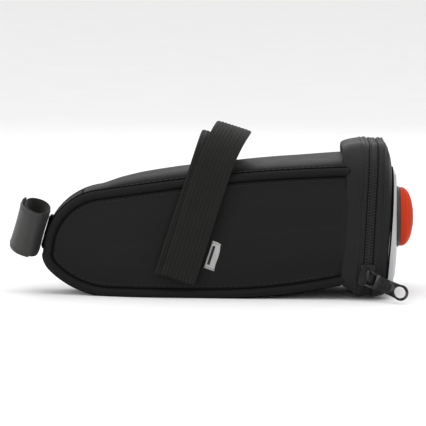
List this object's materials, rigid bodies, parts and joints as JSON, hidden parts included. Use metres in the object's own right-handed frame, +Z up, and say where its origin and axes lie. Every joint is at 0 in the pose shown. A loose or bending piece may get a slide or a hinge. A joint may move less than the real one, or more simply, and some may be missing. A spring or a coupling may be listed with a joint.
{
  "type": "saddle bag",
  "caption": "Wedge-shaped black saddle bag with zip lid, round red light on the back, webbing straps for the saddle rails and a hook and loop seatpost strap.",
  "frame": {"origin": "on the bag's mid-plane, on the underside of the belly, at the middle of the flat patch that it rests on", "axes": "+X to the rear light, -X to the seatpost strap, +Z up from the belly to the rail straps; the left side, with the zip's slider, faces -Y"},
  "size_m": [0.2281, 0.0967, 0.0974],
  "materials": {
    "bag_fabric": "fine matt black polyester weave, padded",
    "top_fabric": "satin black nylon",
    "board": "plain stiffening board",
    "label": "plain light woven tape",
    "zip_tape": "woven tape",
    "zip_coil": "nylon coil",
    "zip_metal": "gunmetal plating, worn",
    "reflective": "silver grey reflective cloth",
    "housing": "moulded black plastic",
    "lens": "clear red moulding",
    "button": "soft moulded red rubber",
    "circuit": "green circuit board",
    "led": "red-tinted clear resin",
    "switch": "moulded switch",
    "cell": "coin cell can",
    "contact": "sprung contact strip",
    "webbing": "ribbed polypropylene webbing",
    "hook_strap": "smooth grey hook and loop strap"
  },
  "bodies": {
    "bag": {"side_panel_left": "bag_fabric", "side_panel_right": "bag_fabric", "rim_left": "bag_fabric", "rim_right": "bag_fabric", "top_panel": "top_fabric", "belly_panel": "bag_fabric", "belly_board": "board", "label": "label", "front_band": "bag_fabric", "hinge_strip": "bag_fabric", "zip_tape_front": "zip_tape", "zip_coil_front": "zip_coil", "zip_stops_front": "zip_metal", "strap_pads": "webbing", "strap_lower": "webbing", "strap_upper": "webbing", "seatpost_anchor": "bag_fabric", "seatpost_strap": "hook_strap"},
    "lid": {"zip_tape_lid": "zip_tape", "zip_coil_lid": "zip_coil", "zip_stops_lid": "zip_metal", "lid_band": "bag_fabric", "rear_board": "board", "reflective_pad": "reflective", "light_housing": "housing", "light_ring_nut": "housing", "light_lens": "lens", "light_board": "circuit", "light_leds": "led", "light_switch": "switch", "battery": "cell", "battery_contact": "contact", "battery_door": "housing", "battery_door_screws": "zip_metal"},
    "slider": {"zip_slider": "zip_metal"},
    "puller": {"zip_puller": "zip_metal"},
    "button": {"light_button": "button"},
    "rail_tab": {"strap_upper_tab": "webbing"},
    "seatpost_tab": {"seatpost_strap_tab": "hook_strap"}
  },
  "joints": [
    {"name": "lid_hinge", "type": "hinge", "parent": "bag", "child": "lid", "pos_m": [0.10638, 0, 0.00089], "axis": [0, 1, 0], "range_deg": [0, 95]},
    {"name": "slider_travel", "type": "slide", "parent": "bag", "child": "slider", "axis": [0.0523, 0, 0.9986], "range_m": [0, 0.043]},
    {"name": "puller_swing", "type": "hinge", "parent": "slider", "child": "puller", "pos_m": [0.10469, -0.04295, 0.0145], "axis": [-0.515, 0, -0.8572], "range_deg": [-20, 60]},
    {"name": "button_press", "type": "slide", "parent": "lid", "child": "button", "axis": [-1, 0, 0], "range_m": [0, 0.0008], "stiffness_N_per_m": 600, "springref_m": -0.0005},
    {"name": "rail_tab_peel", "type": "hinge", "parent": "bag", "child": "rail_tab", "pos_m": [0.01482, -0.03355, 0.0597], "axis": [-0.9471, 0.0913, 0.3077], "range_deg": [0, 100]},
    {"name": "seatpost_tab_peel", "type": "hinge", "parent": "bag", "child": "seatpost_tab", "pos_m": [-0.09068, 0.0098, 0.03899], "axis": [-0.2756, 0, -0.9613], "range_deg": [0, 60]}
  ]
}
